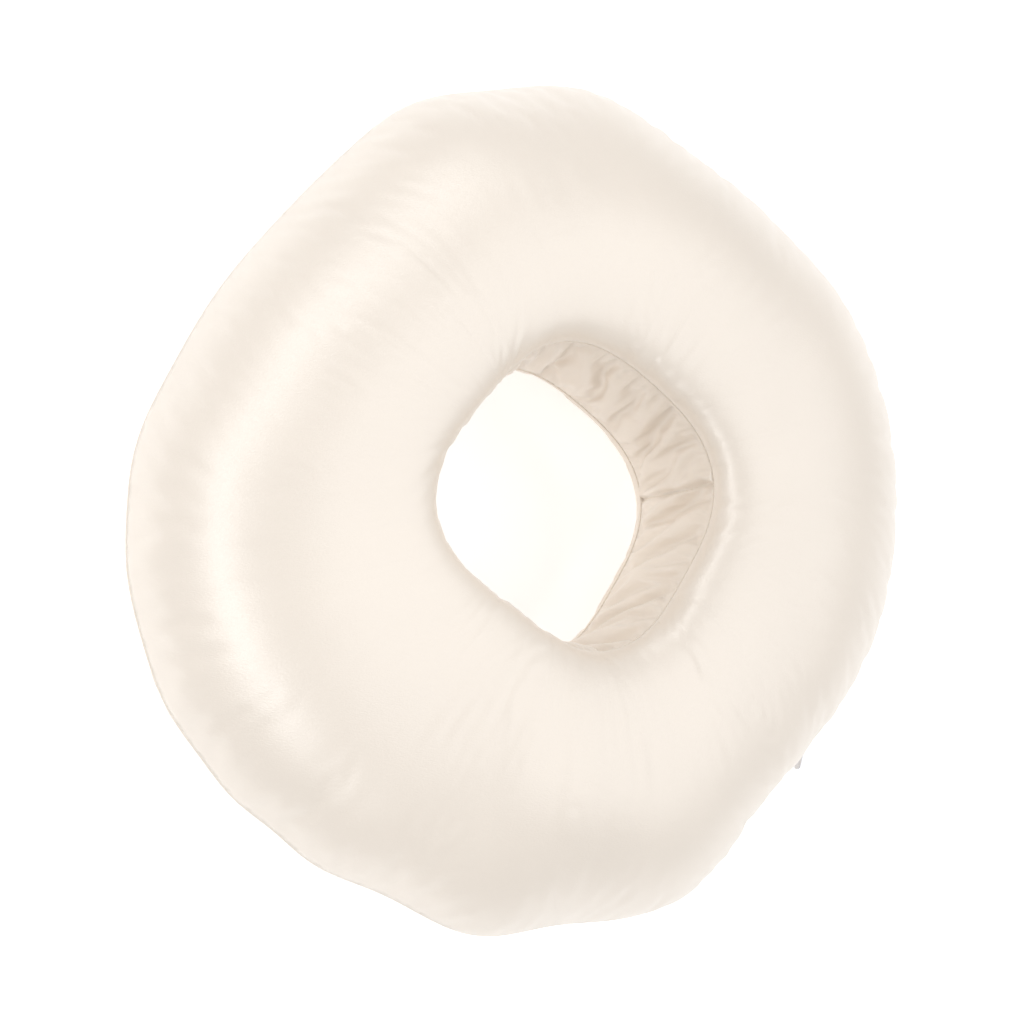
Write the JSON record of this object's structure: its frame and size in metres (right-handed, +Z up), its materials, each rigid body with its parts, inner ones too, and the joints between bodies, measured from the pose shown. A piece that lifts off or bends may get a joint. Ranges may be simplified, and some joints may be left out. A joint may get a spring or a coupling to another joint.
{
  "type": "face cradle cushion",
  "caption": "Plump ring cushion for a face, in a satin cover with a gusseted through-hole and a concealed zip in its outer seam, round a fibre insert.",
  "frame": {"origin": "on the table under the middle of the outline's box", "axes": "+Z up through the hole, from the back panel to the front panel; +X and +Y in the seam's plane"},
  "size_m": [0.3378, 0.3333, 0.0868],
  "materials": {
    "satin": "ivory satin with a soft silk sheen",
    "thread": "fine polyester sewing thread",
    "zip_tape": "woven polyester tape",
    "zip_coil": "nylon coil",
    "zip_metal": "pale nickel plate, lightly brushed",
    "casing_cloth": "white cotton inner bag",
    "fibre": "polyester hollow fibre"
  },
  "bodies": {
    "cushion": {"front_panel": "satin", "back_panel": "satin", "hole_gusset": "satin", "outer_seam_thread": "thread", "front_rim_thread": "thread", "back_rim_thread": "thread", "gusset_join_thread": "thread", "zip_tape_front": "zip_tape", "zip_tape_back": "zip_tape", "zip_tape_front_thread": "thread", "zip_tape_back_thread": "thread", "zip_coil_front": "zip_coil", "zip_coil_back": "zip_coil", "zip_top_stops": "zip_metal", "zip_bottom_stop": "zip_metal", "insert_casing": "casing_cloth", "insert_fill": "fibre", "insert_seam_thread": "thread", "insert_end_threads": "thread"},
    "zip_slider": {"zip_slider": "zip_metal"},
    "zip_pull": {"zip_pull": "zip_metal"}
  },
  "joints": [
    {"name": "zip_travel", "type": "hinge", "parent": "cushion", "child": "zip_slider", "pos_m": [0.02146, 0.00461, 0.042], "axis": [0, 0, 1], "range_deg": [0, 73.5]},
    {"name": "pull_swing", "type": "hinge", "parent": "zip_slider", "child": "zip_pull", "pos_m": [0.09346, -0.12527, 0.042], "axis": [0, 0, 1], "range_deg": [0, 132]}
  ]
}
